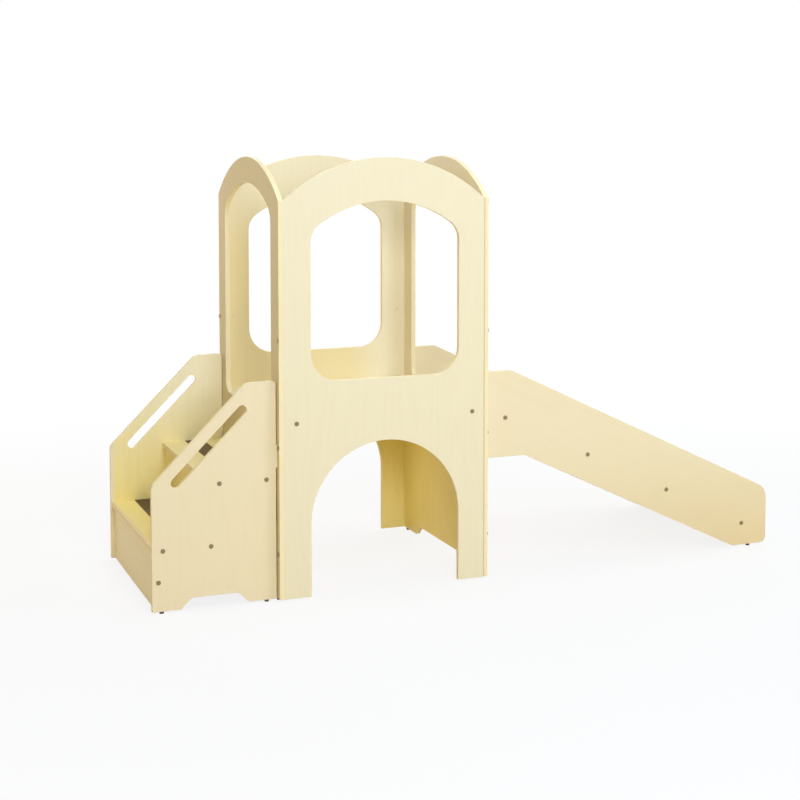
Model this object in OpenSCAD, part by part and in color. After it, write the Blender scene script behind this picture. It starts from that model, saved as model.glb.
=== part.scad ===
// Toddler slide: a play tower with steps on one side and a slide on the other.
// Flat plywood panels, held by furniture bolts, barrel nuts and wooden dowels.
// Millimetres, +Z up. The origin is on the floor, in the middle of the whole length and depth.
// The steps point to -X, the slide to +X, and the doorway faces -Y.

/* [Panels] */
// Thickness of every plywood panel
panel_t = 18; // [15:1:21]
// Distance of the step and slide sides from the tower's front and back faces
side_inset = 27; // [20:1:40]
// Gap between the tower and the edges of the step and slide sides
link_gap = 4; // [3:0.5:6]
// Height of the corner where the step side's front edge ends, and of the slide side's root
side_low = 436; // [418:2:448]

/* [Tower] */
// Width of the tower along X
tower_w = 800; // [760:10:900]
// Depth of the tower along Y
tower_d = 800; // [760:10:900]
// Height of the four panels at their corners
shoulder_h = 1400; // [1380:5:1460]
// Rise of each arched top edge above the corners
arch_rise = 150; // [140:2:180]

/* [Window and doorway] */
// Width of the window and the doorway in the front and back panels
opening_w = 565; // [520:5:590]
// Height of the window's lower edge
window_sill = 765; // [730:5:810]
// Wood above the window's highest point
window_band = 153; // [140:1:180]
// Radius of the window's curved upper edge
window_crown_r = 430; // [400:5:480]
// Radius of the window's upper corners
window_shoulder_r = 75; // [50:5:90]
// Radius of the window's lower corners
window_foot_r = 97; // [60:1:110]
// Height at which the doorway's round arch begins
door_spring = 258; // [200:2:280]

/* [Passages] */
// Width of each leg beside the passages to the steps and the slide
passage_leg = 95; // [80:1:110]
// Height of the passages' lower edge
passage_sill = 632; // [622:1:652]
// Wood above the passages, the same all along the arch
passage_band = 95; // [80:1:110]
// Radius of the passages' upper corners
passage_shoulder_r = 70; // [50:5:90]
// Radius of the passages' lower corners
passage_foot_r = 50; // [30:2:70]

/* [Feet] */
// Height of the cutout under each side panel
foot_cut_h = 37; // [25:1:45]
// Radius of the cutout's inner corners
foot_cut_r = 30; // [15:1:40]
// Length of each foot of the tower's side panels
tower_foot = 146; // [120:2:180]
// Length of each foot of the step sides
stair_foot = 100; // [80:2:120]
// Height of the floor glides
glide_h = 8; // [5:1:12]

/* [Platform] */
// Height of the platform's middle plane
platform_z = 621; // [612:1:624]
// Distance of the platform bolts from the outside of the tower
platform_bolt_in = 64; // [58:1:80]
// Thickness of the cleats under the platform
cleat_t = 25; // [20:1:30]
// Height of the cleats
cleat_h = 40; // [30:1:50]
// Distance of the cleats' ends from the tower's front and back panels
cleat_end = 60; // [40:5:100]

/* [Steps] */
// Reach of the steps from the tower
stair_reach = 446; // [438:2:454]
// Height of the horizontal top edge of the step sides
stair_top = 772; // [750:2:800]
// Depth of each tread
tread_d = 239; // [234:1:246]
// Height of the lower tread's middle plane
tread_z = 210; // [203:1:217]
// Height from one tread to the next
tread_rise = 217; // [210:1:221]
// Distance from each tread's front edge to its riser
nosing = 10; // [4:1:16]
// Distance of the lower tread from the front edge of the step sides
tread_front = 3; // [1:1:6]
// Height of the lower riser's lower edge above the feet
riser_lift = 2; // [1:1:31]
// Distance of each tread bolt from the tread's ends
tread_bolt_in = 35; // [30:1:45]
// Width of the anti-slip strips
strip_w = 70; // [50:2:80]
// Thickness of the anti-slip strips
strip_t = 1.5; // [1:0.5:2.5]
// Distance of each strip's middle from the tread's front edge
strip_in = 123; // [105:1:135]

/* [Handle slots] */
// Width of the slot in each step side
slot_w = 35; // [28:1:40]
// Wood between the slot and the sloping edge
grip_w = 39; // [30:1:45]
// Distance of the slot's lower centre from the front edge
slot_front = 85; // [75:1:100]
// Distance of the slot's upper centre from the tower
slot_rear = 125; // [112:1:145]

/* [Slide] */
// Reach of the slide from the tower
slide_reach = 1242; // [1222:1:1262]
// Height of the horizontal top edge of the slide sides
slide_top = 758; // [740:2:780]
// Slope of the slide in degrees
slide_slope = 25.4; // [24.9:0.1:25.9]
// Distance of the slide sides' upper knee from the tower
slide_knee = 109; // [100:1:118]
// Width of the sloping part of the slide sides, square to the slope
slide_band = 266; // [261:1:271]
// Radius of the slide sides' upper end corner
tail_r = 60; // [40:2:80]
// Distance of the bed's lower end from the end of the slide sides
bed_tail = 16; // [8:1:30]
// Distance of the first bed bolt from the tower
bed_bolt_first = 83; // [70:1:90]
// Distance between the bed bolts along the slope
bed_bolt_pitch = 385; // [376:1:390]

/* [Fasteners] */
// Thread diameter of the bolts
bolt_d = 6; // [5:0.5:8]
// Diameter of the bolt heads
bolt_head_d = 16; // [13:0.5:18]
// Thickness of the bolt heads
bolt_head_h = 2.5; // [2:0.25:3.5]
// Width of the hexagon socket, corner to corner
socket_d = 4.6; // [3.5:0.1:5.5]
// Diameter of the barrel nuts
barrel_d = 10; // [9:0.5:11]
// Distance of each barrel nut from the board's edge
barrel_in = 34; // [28:1:40]
// Diameter of the dowels
dowel_d = 8; // [6:0.5:10]
// Length of the dowels
dowel_l = 30; // [26:1:36]
// Height of the link rails that join the steps and the slide to the tower
rail_h = 80; // [70:1:90]

/* [Hidden] */
$fn = 64;
play = 0.3;         // clearance on the radius of bolts and nuts
dowel_play = 0.1;   // clearance on the radius of dowels and glide pins
past = 1;           // how far a cutter runs past a face
dowel_blind = 10;   // depth of a dowel in the face of a panel
knee_r = 35;        // radius of the knees of the step and slide sides
small_r = 12;       // radius of the other corners of those sides
tail_low_r = 25;    // radius of the slide sides' lower end corner
tab_low = 466;      // lower end of the tab that touches the tower
tab_h = 81;         // height of that tab
stair_rail_drop = 40;    // distance of the step rail's bolts below the upper tread
slide_rail_z = 499;      // height of the slide rail's bolts
link_bolt_in = 130;      // distance of the link bolts from the outside of the sides
hex_d = 11.5;            // width of the link nuts, corner to corner
hex_h = 5;               // height of the link nuts
screw_d = 4;             // shank of the cleat screws
screw_head_d = 8;        // head of the cleat screws
screw_head_h = 3;
screw_bite = 12;         // depth of the cleat screws in the side panels
glide_pin_d = 5;
glide_pin_h = 14;
tower_glide_in = 40;     // distance of the tower's glides from its front and back
stair_glide_in = 34;     // distance of the step glides from the ends of the step sides
strip_end = 2;           // distance of the strips from the step sides

inner_w = tower_w - 2 * panel_t;            // between the tower's side panels
inner_d = tower_d - 2 * panel_t;            // between the front and back panels
side_w = tower_d - 2 * side_inset;          // over the step or slide sides
board_w = side_w - 2 * panel_t;             // between those sides
arch_top = shoulder_h + arch_rise;
passage_r = arch_r(tower_d) - passage_band;
shift_x = (stair_reach - slide_reach) / 2;  // centres the whole part on the origin
bolt_l = panel_t + barrel_in + barrel_d / 2;
barrel_l = panel_t - 4;
link_bolt_l = 2 * panel_t + hex_h + 1;
glide_d = panel_t - 2;
corner_bolt_z = [161, 538, 916];            // bolts at each corner of the tower
corner_dowel_z = [350, 720, 1270];          // dowels at each corner of the tower
dowel_v = [150, board_w / 2, board_w - 150];      // dowels along the treads and risers
cleat_screw_y = [-0.4, -0.13, 0.13, 0.4] * (inner_d - 2 * cleat_end);
stair_glides_u = [link_gap + stair_glide_in, stair_reach - stair_glide_in];

lower_nose = stair_reach - tread_front;
upper_nose = link_gap + tread_d;
upper_tread_z = tread_z + tread_rise;
lower_riser_u = lower_nose - nosing - panel_t / 2;
upper_riser_u = upper_nose - nosing - panel_t / 2;
stair_rail_z = upper_tread_z - panel_t / 2 - stair_rail_drop;
slot_sum = stair_reach + side_low - (grip_w + slot_w / 2) * sqrt(2);

bed_drop = tan(slide_slope);
knee_low = slide_top - slide_band / cos(slide_slope);      // slide sides' lower edge at the knee
slide_foot_u = slide_knee + knee_low / bed_drop;           // where that edge meets the floor
slide_glides_u = [(slide_foot_u + slide_reach) / 2];
bed_z = passage_sill - panel_t / 2 / cos(slide_slope);     // bed's middle plane at the tower

// Bolt stations on the step and slide sides: [distance from the tower, height, turn of the nut]
tread_lower_bolts = [for (u = [lower_nose - tread_bolt_in, lower_nose - tread_d + tread_bolt_in])
    [u, tread_z, 0]];
tread_upper_bolts = [for (u = [upper_nose - tread_bolt_in, link_gap + tread_bolt_in])
    [u, upper_tread_z, 0]];
riser_lower_bolts = [[lower_riser_u, (riser_lift + tread_z - panel_t / 2) / 2, 90]];
stair_stations = concat(tread_lower_bolts, tread_upper_bolts, riser_lower_bolts);
slide_stations = [for (i = [0:3])
    let (u = bed_bolt_first + i * bed_bolt_pitch * cos(slide_slope))
    [u, bed_z - u * bed_drop, slide_slope]];

function arch_r(w) = (w * w / 4 + arch_rise * arch_rise) / (2 * arch_rise);
function unit(v) = v / norm(v);

// ---- flat outlines ----

// Polygon whose outward corners are rounded, each by its own radius
module rounded(points, radii) {
    n = len(points);
    corners = [for (i = [0:n - 1])
        let (p = points[i],
             a = unit(points[(i + n - 1) % n] - p),
             b = unit(points[(i + 1) % n] - p),
             half = acos(a * b) / 2,
             reach = radii[i] / tan(half))
        [p + a * reach, p + b * reach, p + unit(a + b) * radii[i] / sin(half), radii[i]]];
    union() {
        polygon([for (c = corners) each (c[3] > 0 ? [c[0], c[1]] : [c[0]])]);
        for (c = corners)
            if (c[3] > 0)
                translate(c[2])
                    circle(r = c[3]);
    }
}

// Upright panel with an arched top
module arched(w) {
    r = arch_r(w);
    centre_z = arch_top - r;
    intersection() {
        translate([-w / 2, 0])
            square([w, arch_top + past]);
        union() {
            translate([0, centre_z])
                circle(r = r, $fn = 180);
            translate([-w / 2 - past, -past])
                square([w + 2 * past, centre_z + past]);
        }
    }
}

// Opening with round lower corners, round shoulders and a curved crown
module arched_opening(w, sill, crown, crown_r, shoulder_r, foot_r) {
    centre_z = crown - crown_r;
    side_x = w / 2 - shoulder_r;
    shoulder_z = centre_z + sqrt(pow(crown_r - shoulder_r, 2) - pow(side_x, 2));
    slant = atan(side_x / (shoulder_z - centre_z));
    far = 2 * crown_r;
    union() {
        rounded([[-w / 2, sill], [w / 2, sill], [w / 2, shoulder_z], [-w / 2, shoulder_z]],
                [foot_r, foot_r, 0, 0]);
        for (s = [-1, 1])
            translate([s * side_x, shoulder_z])
                circle(r = shoulder_r);
        intersection() {
            translate([0, centre_z])
                circle(r = crown_r, $fn = 180);
            polygon([[0, centre_z],
                     [far * sin(slant), centre_z + far * cos(slant)],
                     [-far * sin(slant), centre_z + far * cos(slant)]]);
        }
    }
}

// Shallow cutout that leaves a foot at each end of a panel's lower edge
module foot_cut(from, to) {
    rounded([[from - past, -past], [to + past, -past],
             [to - foot_cut_h, foot_cut_h], [from + foot_cut_h, foot_cut_h]],
            [0, 0, foot_cut_r, foot_cut_r]);
}

module doorway() {
    union() {
        translate([-opening_w / 2, -past])
            square([opening_w, door_spring + past]);
        translate([0, door_spring])
            circle(d = opening_w, $fn = 180);
    }
}

module front_outline() {
    difference() {
        arched(inner_w);
        arched_opening(opening_w, window_sill, arch_top - window_band,
                       window_crown_r, window_shoulder_r, window_foot_r);
        doorway();
    }
}

module side_outline() {
    difference() {
        arched(tower_d);
        arched_opening(tower_d - 2 * passage_leg, passage_sill, arch_top - passage_band,
                       passage_r, passage_shoulder_r, passage_foot_r);
        foot_cut(tower_foot - tower_d / 2, tower_d / 2 - tower_foot);
    }
}

module tab() {
    translate([0, tab_low])
        square([link_gap + past, tab_h]);
}

module handle_slot() {
    low = [stair_reach - slot_front, slot_sum - stair_reach + slot_front];
    high = [slot_rear, slot_sum - slot_rear];
    across = unit([1, 1]) * slot_w / 2;
    union() {
        polygon([low - across, low + across, high + across, high - across]);
        for (p = [low, high])
            translate(p)
                circle(d = slot_w);
    }
}

module stair_side_outline() {
    difference() {
        union() {
            rounded([[link_gap, 0], [stair_reach, 0], [stair_reach, side_low],
                     [stair_reach - stair_top + side_low, stair_top], [link_gap, stair_top]],
                    [0, 0, knee_r, knee_r, small_r]);
            tab();
        }
        handle_slot();
        foot_cut(link_gap + stair_foot, stair_reach - stair_foot);
    }
}

module slide_side_outline() {
    union() {
        rounded([[link_gap, side_low],
                 [slide_knee + (knee_low - side_low) / bed_drop, side_low],
                 [slide_foot_u, 0],
                 [slide_reach, 0],
                 [slide_reach, slide_top - (slide_reach - slide_knee) * bed_drop],
                 [slide_knee, slide_top],
                 [link_gap, slide_top]],
                [small_r, 0, small_r, tail_low_r, tail_r, knee_r, small_r]);
        tab();
    }
}

// ---- helpers ----

// Stands an outline up along X, its thickness running to +Y
module along_x(t = panel_t) {
    rotate([90, 0, 0])
        translate([0, 0, -t])
            linear_extrude(t)
                children();
}

// Stands an outline up along Y, its thickness running to +X
module along_y(t = panel_t) {
    rotate([90, 0, 90])
        linear_extrude(t)
            children();
}

module in_tower() {
    translate([shift_x, 0, glide_h])
        children();
}

// Frame of the steps: X runs away from the tower, Y from the front side to the back side
module in_stairs() {
    translate([shift_x - tower_w / 2, -side_w / 2, glide_h])
        mirror([1, 0, 0])
            children();
}

// Frame of the slide, like the frame of the steps
module in_slide() {
    translate([shift_x + tower_w / 2, -side_w / 2, glide_h])
        children();
}

// Places a fastener at stations on both sides of the steps or the slide, pointing inwards
module at_sides(stations) {
    for (s = stations) {
        translate([s[0], 0, s[1]])
            rotate([0, s[2], 0])
                rotate([-90, 0, 0])
                    children();
        translate([s[0], side_w, s[1]])
            rotate([0, 0, 180])
                rotate([0, -s[2], 0])
                    rotate([-90, 0, 0])
                        children();
    }
}

// Places a fastener at all four corners of the tower, pointing from a side panel inwards
module at_corners(heights) {
    for (turn = [0, 180], s = [-1, 1], z = heights)
        rotate([0, 0, turn])
            translate([s * tower_w / 2, -(tower_d - panel_t) / 2, z])
                rotate([0, -90 * s, 0])
                    children();
}

// Places a fastener at the four platform bolts, pointing inwards with its Y axis down
module at_platform() {
    for (turn = [0, 180], s = [-1, 1])
        rotate([0, 0, turn])
            translate([s * (tower_w / 2 - platform_bolt_in), -tower_d / 2, platform_z])
                rotate([-90, 0, 0])
                    children();
}

// Places a link bolt inside the tower, pointing out through its side panel and a rail
module at_links(z) {
    for (y = [link_bolt_in, side_w - link_bolt_in])
        translate([-panel_t, y, z])
            rotate([0, 90, 0])
                children();
}

module bolt(len = bolt_l) {
    difference() {
        union() {
            translate([0, 0, -bolt_head_h])
                cylinder(d = bolt_head_d, h = bolt_head_h);
            translate([0, 0, -past])
                cylinder(d = bolt_d, h = len + past);
        }
        translate([0, 0, -bolt_head_h - past])
            cylinder(d = socket_d, h = bolt_head_h + past, $fn = 6);
    }
}

module bolt_bore() {
    translate([0, 0, -past])
        cylinder(d = bolt_d + 2 * play, h = bolt_l + 2 * past);
}

// Cross-drilled barrel nut, its axis along Y, on the bolt's own axis
module barrel_nut() {
    translate([0, 0, panel_t + barrel_in])
        difference() {
            rotate([90, 0, 0])
                cylinder(d = barrel_d, h = barrel_l, center = true);
            cylinder(d = bolt_d + 2 * play, h = barrel_d + 2 * past, center = true);
        }
}

// Bore of a barrel nut, open towards +Y
module barrel_bore() {
    translate([0, -barrel_l / 2 - play, panel_t + barrel_in])
        rotate([-90, 0, 0])
            cylinder(d = barrel_d + 2 * play, h = barrel_l / 2 + play + panel_t / 2 + past);
}

// Bores for a bolt and its nut in the board that the bolt pulls tight
module board_bores() {
    bolt_bore();
    barrel_bore();
}

// Dowel across a joint at height 0, the shorter end below it
module dowel(extra = 0) {
    translate([0, 0, -dowel_blind - extra])
        cylinder(d = dowel_d + 2 * extra, h = dowel_l + 2 * extra);
}

// Dowel from the inner face of an outer panel into the edge of the board behind it
module panel_dowel(extra = 0) {
    translate([0, 0, panel_t])
        dowel(extra);
}

module glide() {
    union() {
        translate([0, 0, -glide_h])
            cylinder(d = glide_d, h = glide_h);
        translate([0, 0, -past])
            cylinder(d = glide_pin_d, h = glide_pin_h + past);
    }
}

module glide_bore() {
    translate([0, 0, -past])
        cylinder(d = glide_pin_d + 2 * dowel_play, h = glide_pin_h + past + dowel_play);
}

// ---- tower ----

module tower_panel() {
    difference() {
        translate([0, -tower_d / 2, 0])
            along_x()
                front_outline();
        at_corners(corner_bolt_z)
            board_bores();
        at_corners(corner_dowel_z)
            panel_dowel(dowel_play);
        at_platform()
            bolt_bore();
    }
}

module tower_front() {
    color("wheat")
        in_tower()
            tower_panel();
}

module tower_back() {
    color("wheat")
        in_tower()
            rotate([0, 0, 180])
                tower_panel();
}

// Side panel on the slide side, with the bores for the link bolts at the given height
module tower_side(link_z) {
    difference() {
        translate([tower_w / 2 - panel_t, 0, 0])
            along_y()
                side_outline();
        at_corners(corner_bolt_z)
            bolt_bore();
        at_corners(corner_dowel_z)
            panel_dowel(dowel_play);
        translate([tower_w / 2, -side_w / 2, 0])
            at_links(link_z)
                bolt_bore();
        at_cleat_screws()
            cleat_screw_bore();
        at_tower_glides()
            glide_bore();
    }
}

module tower_stair_side() {
    color("wheat")
        in_tower()
            rotate([0, 0, 180])
                tower_side(stair_rail_z);
}

module tower_slide_side() {
    color("wheat")
        in_tower()
            tower_side(slide_rail_z);
}

module tower_bolts() {
    color("silver")
        in_tower()
            at_corners(corner_bolt_z)
                bolt();
}

module tower_nuts() {
    color("silver")
        in_tower()
            at_corners(corner_bolt_z)
                barrel_nut();
}

module tower_dowels() {
    color("tan")
        in_tower()
            at_corners(corner_dowel_z)
                panel_dowel();
}

module at_tower_glides() {
    for (x = [-1, 1], y = [-1, 1])
        translate([x * (tower_w - panel_t) / 2, y * (tower_d / 2 - tower_glide_in), 0])
            children();
}

module tower_glides() {
    color("saddlebrown")
        in_tower()
            at_tower_glides()
                glide();
}

// ---- platform ----

module platform() {
    color("wheat")
        in_tower()
            difference() {
                translate([-inner_w / 2, -inner_d / 2, platform_z - panel_t / 2])
                    cube([inner_w, inner_d, panel_t]);
                at_platform()
                    board_bores();
            }
}

module platform_bolts() {
    color("silver")
        in_tower()
            at_platform()
                bolt();
}

module platform_nuts() {
    color("silver")
        in_tower()
            at_platform()
                barrel_nut();
}

// Places a screw on each cleat's inner face, pointing out into the tower's side panel
module at_cleat_screws() {
    for (s = [-1, 1], y = cleat_screw_y)
        translate([s * (inner_w / 2 - cleat_t), y, platform_z - panel_t / 2 - cleat_h / 2])
            rotate([0, 90 * s, 0])
                children();
}

module cleat_screw() {
    union() {
        cylinder(d = screw_head_d, h = screw_head_h);
        cylinder(d = screw_d, h = cleat_t + screw_bite);
    }
}

module cleat_screw_bore() {
    translate([0, 0, -past])
        cylinder(d = screw_head_d + 2 * dowel_play, h = screw_head_h + past);
    cylinder(d = screw_d + 2 * dowel_play, h = cleat_t + screw_bite + dowel_play);
}

// Cleat on the slide side's panel
module cleat() {
    difference() {
        translate([inner_w / 2 - cleat_t, cleat_end - inner_d / 2, platform_z - panel_t / 2 - cleat_h])
            cube([cleat_t, inner_d - 2 * cleat_end, cleat_h]);
        at_cleat_screws()
            cleat_screw_bore();
    }
}

module cleat_stair_side() {
    color("burlywood")
        in_tower()
            rotate([0, 0, 180])
                cleat();
}

module cleat_slide_side() {
    color("burlywood")
        in_tower()
            cleat();
}

module cleat_screws() {
    color("silver")
        in_tower()
            at_cleat_screws()
                cleat_screw();
}

// ---- steps ----

// Dowels at the ends of a link rail whose bolts are at the given height. They lie midway
// between the end of the side panel and the far face of the rail.
module rail_dowels(z, extra = 0) {
    at_sides([for (dz = [-1, 1]) [(link_gap + panel_t) / 2, z + dz * rail_h / 4, 0]])
        panel_dowel(extra);
}

// Dowels between the treads and the risers
module riser_dowels(extra = 0) {
    for (v = dowel_v) {
        translate([upper_riser_u, panel_t + v, tread_z + panel_t / 2])
            dowel(extra);
        for (p = [[upper_riser_u, upper_tread_z], [lower_riser_u, tread_z]])
            translate([p[0], panel_t + v, p[1] - panel_t / 2])
                rotate([180, 0, 0])
                    dowel(extra);
    }
}

module at_side_glides(distances) {
    for (u = distances, v = [panel_t / 2, side_w - panel_t / 2])
        translate([u, v, 0])
            children();
}

// One side of the steps, starting at the given distance from the front side's outer face
module stair_side(v) {
    difference() {
        translate([0, v, 0])
            along_x()
                stair_side_outline();
        at_sides(stair_stations)
            bolt_bore();
        rail_dowels(stair_rail_z, dowel_play);
        at_side_glides(stair_glides_u)
            glide_bore();
    }
}

module stair_side_front() {
    color("wheat")
        in_stairs()
            stair_side(0);
}

module stair_side_back() {
    color("wheat")
        in_stairs()
            stair_side(side_w - panel_t);
}

// Tread with its front edge at the given distance from the tower
module tread(nose, z, bolts) {
    difference() {
        translate([nose - tread_d, panel_t, z - panel_t / 2])
            cube([tread_d, board_w, panel_t]);
        at_sides(bolts)
            board_bores();
        riser_dowels(dowel_play);
    }
}

module tread_lower() {
    color("wheat")
        in_stairs()
            tread(lower_nose, tread_z, tread_lower_bolts);
}

module tread_upper() {
    color("wheat")
        in_stairs()
            tread(upper_nose, upper_tread_z, tread_upper_bolts);
}

// Riser between two heights, its middle plane at the given distance from the tower
module riser(u, low, high) {
    difference() {
        translate([u - panel_t / 2, panel_t, low])
            cube([panel_t, board_w, high - low]);
        at_sides(riser_lower_bolts)
            board_bores();
        riser_dowels(dowel_play);
    }
}

module riser_lower() {
    color("wheat")
        in_stairs()
            riser(lower_riser_u, riser_lift, tread_z - panel_t / 2);
}

module riser_upper() {
    color("wheat")
        in_stairs()
            riser(upper_riser_u, tread_z + panel_t / 2, upper_tread_z - panel_t / 2);
}

// Anti-slip strip on a tread
module strip(nose, z) {
    translate([nose - strip_in - strip_w / 2, panel_t + strip_end, z + panel_t / 2])
        cube([strip_w, board_w - 2 * strip_end, strip_t]);
}

module strip_lower() {
    color("saddlebrown")
        in_stairs()
            strip(lower_nose, tread_z);
}

module strip_upper() {
    color("saddlebrown")
        in_stairs()
            strip(upper_nose, upper_tread_z);
}

// Rail against the tower, between the sides of the steps or the slide
module link_rail(z) {
    difference() {
        translate([0, panel_t, z - rail_h / 2])
            cube([panel_t, board_w, rail_h]);
        at_links(z)
            bolt_bore();
        rail_dowels(z, dowel_play);
    }
}

module stair_rail() {
    color("wheat")
        in_stairs()
            link_rail(stair_rail_z);
}

module stair_bolts() {
    color("silver")
        in_stairs()
            at_sides(stair_stations)
                bolt();
}

module stair_nuts() {
    color("silver")
        in_stairs()
            at_sides(stair_stations)
                barrel_nut();
}

module stair_dowels() {
    color("tan")
        in_stairs() {
            riser_dowels();
            rail_dowels(stair_rail_z);
        }
}

// Nut on the far face of a link rail
module link_nut() {
    translate([0, 0, 2 * panel_t])
        difference() {
            cylinder(d = hex_d, h = hex_h, $fn = 6);
            translate([0, 0, -past])
                cylinder(d = bolt_d + 2 * play, h = hex_h + 2 * past);
        }
}

module stair_link_bolts() {
    color("silver")
        in_stairs()
            at_links(stair_rail_z)
                bolt(link_bolt_l);
}

module stair_link_nuts() {
    color("silver")
        in_stairs()
            at_links(stair_rail_z)
                link_nut();
}

module stair_glides() {
    color("saddlebrown")
        in_stairs()
            at_side_glides(stair_glides_u)
                glide();
}

// ---- slide ----

// One side of the slide, starting at the given distance from the front side's outer face
module slide_side(v) {
    difference() {
        translate([0, v, 0])
            along_x()
                slide_side_outline();
        at_sides(slide_stations)
            bolt_bore();
        rail_dowels(slide_rail_z, dowel_play);
        at_side_glides(slide_glides_u)
            glide_bore();
    }
}

module slide_side_front() {
    color("wheat")
        in_slide()
            slide_side(0);
}

module slide_side_back() {
    color("wheat")
        in_slide()
            slide_side(side_w - panel_t);
}

// Profile of the bed: cut plumb at the tower, rounded at its lower end
module bed_profile() {
    run = (slide_reach - bed_tail - panel_t / 2) / cos(slide_slope);
    difference() {
        translate([0, bed_z])
            rotate(-slide_slope)
                union() {
                    translate([-panel_t, -panel_t / 2])
                        square([run + panel_t, panel_t]);
                    translate([run, 0])
                        circle(d = panel_t);
                }
        translate([-2 * panel_t, bed_z - 2 * panel_t])
            square([2 * panel_t, 4 * panel_t]);
    }
}

module slide_bed() {
    color("wheat")
        in_slide()
            difference() {
                translate([0, panel_t, 0])
                    along_x(board_w)
                        bed_profile();
                at_sides(slide_stations)
                    board_bores();
            }
}

module slide_rail() {
    color("wheat")
        in_slide()
            link_rail(slide_rail_z);
}

module slide_bolts() {
    color("silver")
        in_slide()
            at_sides(slide_stations)
                bolt();
}

module slide_nuts() {
    color("silver")
        in_slide()
            at_sides(slide_stations)
                barrel_nut();
}

module slide_dowels() {
    color("tan")
        in_slide()
            rail_dowels(slide_rail_z);
}

module slide_link_bolts() {
    color("silver")
        in_slide()
            at_links(slide_rail_z)
                bolt(link_bolt_l);
}

module slide_link_nuts() {
    color("silver")
        in_slide()
            at_links(slide_rail_z)
                link_nut();
}

module slide_glides() {
    color("saddlebrown")
        in_slide()
            at_side_glides(slide_glides_u)
                glide();
}

tower_front();
tower_back();
tower_stair_side();
tower_slide_side();
tower_bolts();
tower_nuts();
tower_dowels();
tower_glides();
platform();
platform_bolts();
platform_nuts();
cleat_stair_side();
cleat_slide_side();
cleat_screws();
stair_side_front();
stair_side_back();
tread_lower();
tread_upper();
riser_lower();
riser_upper();
strip_lower();
strip_upper();
stair_rail();
stair_bolts();
stair_nuts();
stair_dowels();
stair_link_bolts();
stair_link_nuts();
stair_glides();
slide_side_front();
slide_side_back();
slide_bed();
slide_rail();
slide_bolts();
slide_nuts();
slide_dowels();
slide_link_bolts();
slide_link_nuts();
slide_glides();
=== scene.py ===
import math

import bmesh
import bpy
from mathutils import Euler, Matrix, Vector


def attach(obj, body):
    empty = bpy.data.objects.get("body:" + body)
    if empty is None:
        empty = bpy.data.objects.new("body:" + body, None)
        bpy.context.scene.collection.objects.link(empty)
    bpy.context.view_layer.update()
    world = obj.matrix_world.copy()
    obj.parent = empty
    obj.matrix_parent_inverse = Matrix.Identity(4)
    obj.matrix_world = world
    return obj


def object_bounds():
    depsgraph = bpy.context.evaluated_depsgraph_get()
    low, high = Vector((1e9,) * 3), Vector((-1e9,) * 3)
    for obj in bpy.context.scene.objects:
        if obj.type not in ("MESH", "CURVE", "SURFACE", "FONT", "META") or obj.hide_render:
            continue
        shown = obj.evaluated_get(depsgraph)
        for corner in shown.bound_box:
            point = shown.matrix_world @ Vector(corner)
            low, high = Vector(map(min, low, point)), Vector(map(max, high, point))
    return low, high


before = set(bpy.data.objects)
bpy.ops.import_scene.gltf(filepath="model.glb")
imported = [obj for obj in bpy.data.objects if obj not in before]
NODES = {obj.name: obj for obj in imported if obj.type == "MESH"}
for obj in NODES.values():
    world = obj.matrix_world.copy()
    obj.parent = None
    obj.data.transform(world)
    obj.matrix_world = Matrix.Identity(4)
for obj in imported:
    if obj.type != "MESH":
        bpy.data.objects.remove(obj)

bl_info = {
    "name": "Toddler slide finishes",
    "version": (1, 0, 0),
    "blender": (4, 5, 0),
    "location": "View3D > Sidebar > Toddler slide",
    "description": "Birch plywood, hardware and studio for the toddler slide",
    "category": "Object",
}

CAD_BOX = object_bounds()

UP = Vector((0, 0, 1))
ALONG_X = Vector((1, 0, 0))
ALONG_Y = Vector((0, 1, 0))

SAME_SPOT = 1e-5  # Corners closer than this are one corner


def tint(red, green, blue):
    """The linear colour, with full alpha, of an sRGB colour given from 0 to 255."""
    shares = (value / 255 for value in (red, green, blue))
    return (*(s / 12.92 if s <= 0.04 else ((s + 0.055) / 1.055) ** 2.4 for s in shares), 1.0)


# Tones that only touch the glue lines, the worn strips and the mouldings
GLUE_LINE = tint(172, 132, 82)
BARE_GRIT = tint(128, 104, 54)
GLIDE_DUST = tint(150, 138, 122)
CAP_STREAK = tint(214, 186, 132)

WHITE = (1, 1, 1, 1)


def colour(name, description, default):
    """A colour setting."""
    return bpy.props.FloatVectorProperty(
        name=name, description=description, subtype="COLOR", size=4, min=0, max=1, default=default
    )


def share(name, description, default):
    """A setting from 0 to 1."""
    return bpy.props.FloatProperty(
        name=name, description=description, subtype="FACTOR", min=0, max=1, default=default
    )


def length(name, description, default, low, high):
    """A length setting, in metres."""
    return bpy.props.FloatProperty(
        name=name, description=description, unit="LENGTH", precision=4,
        min=low, max=high, default=default
    )


def lamp_power(name, description, default):
    """A lamp's power setting, in watts."""
    return bpy.props.FloatProperty(
        name=name, description=description, unit="POWER", min=0, default=default
    )


# ---------------------------------------------------------------- settings


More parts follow.
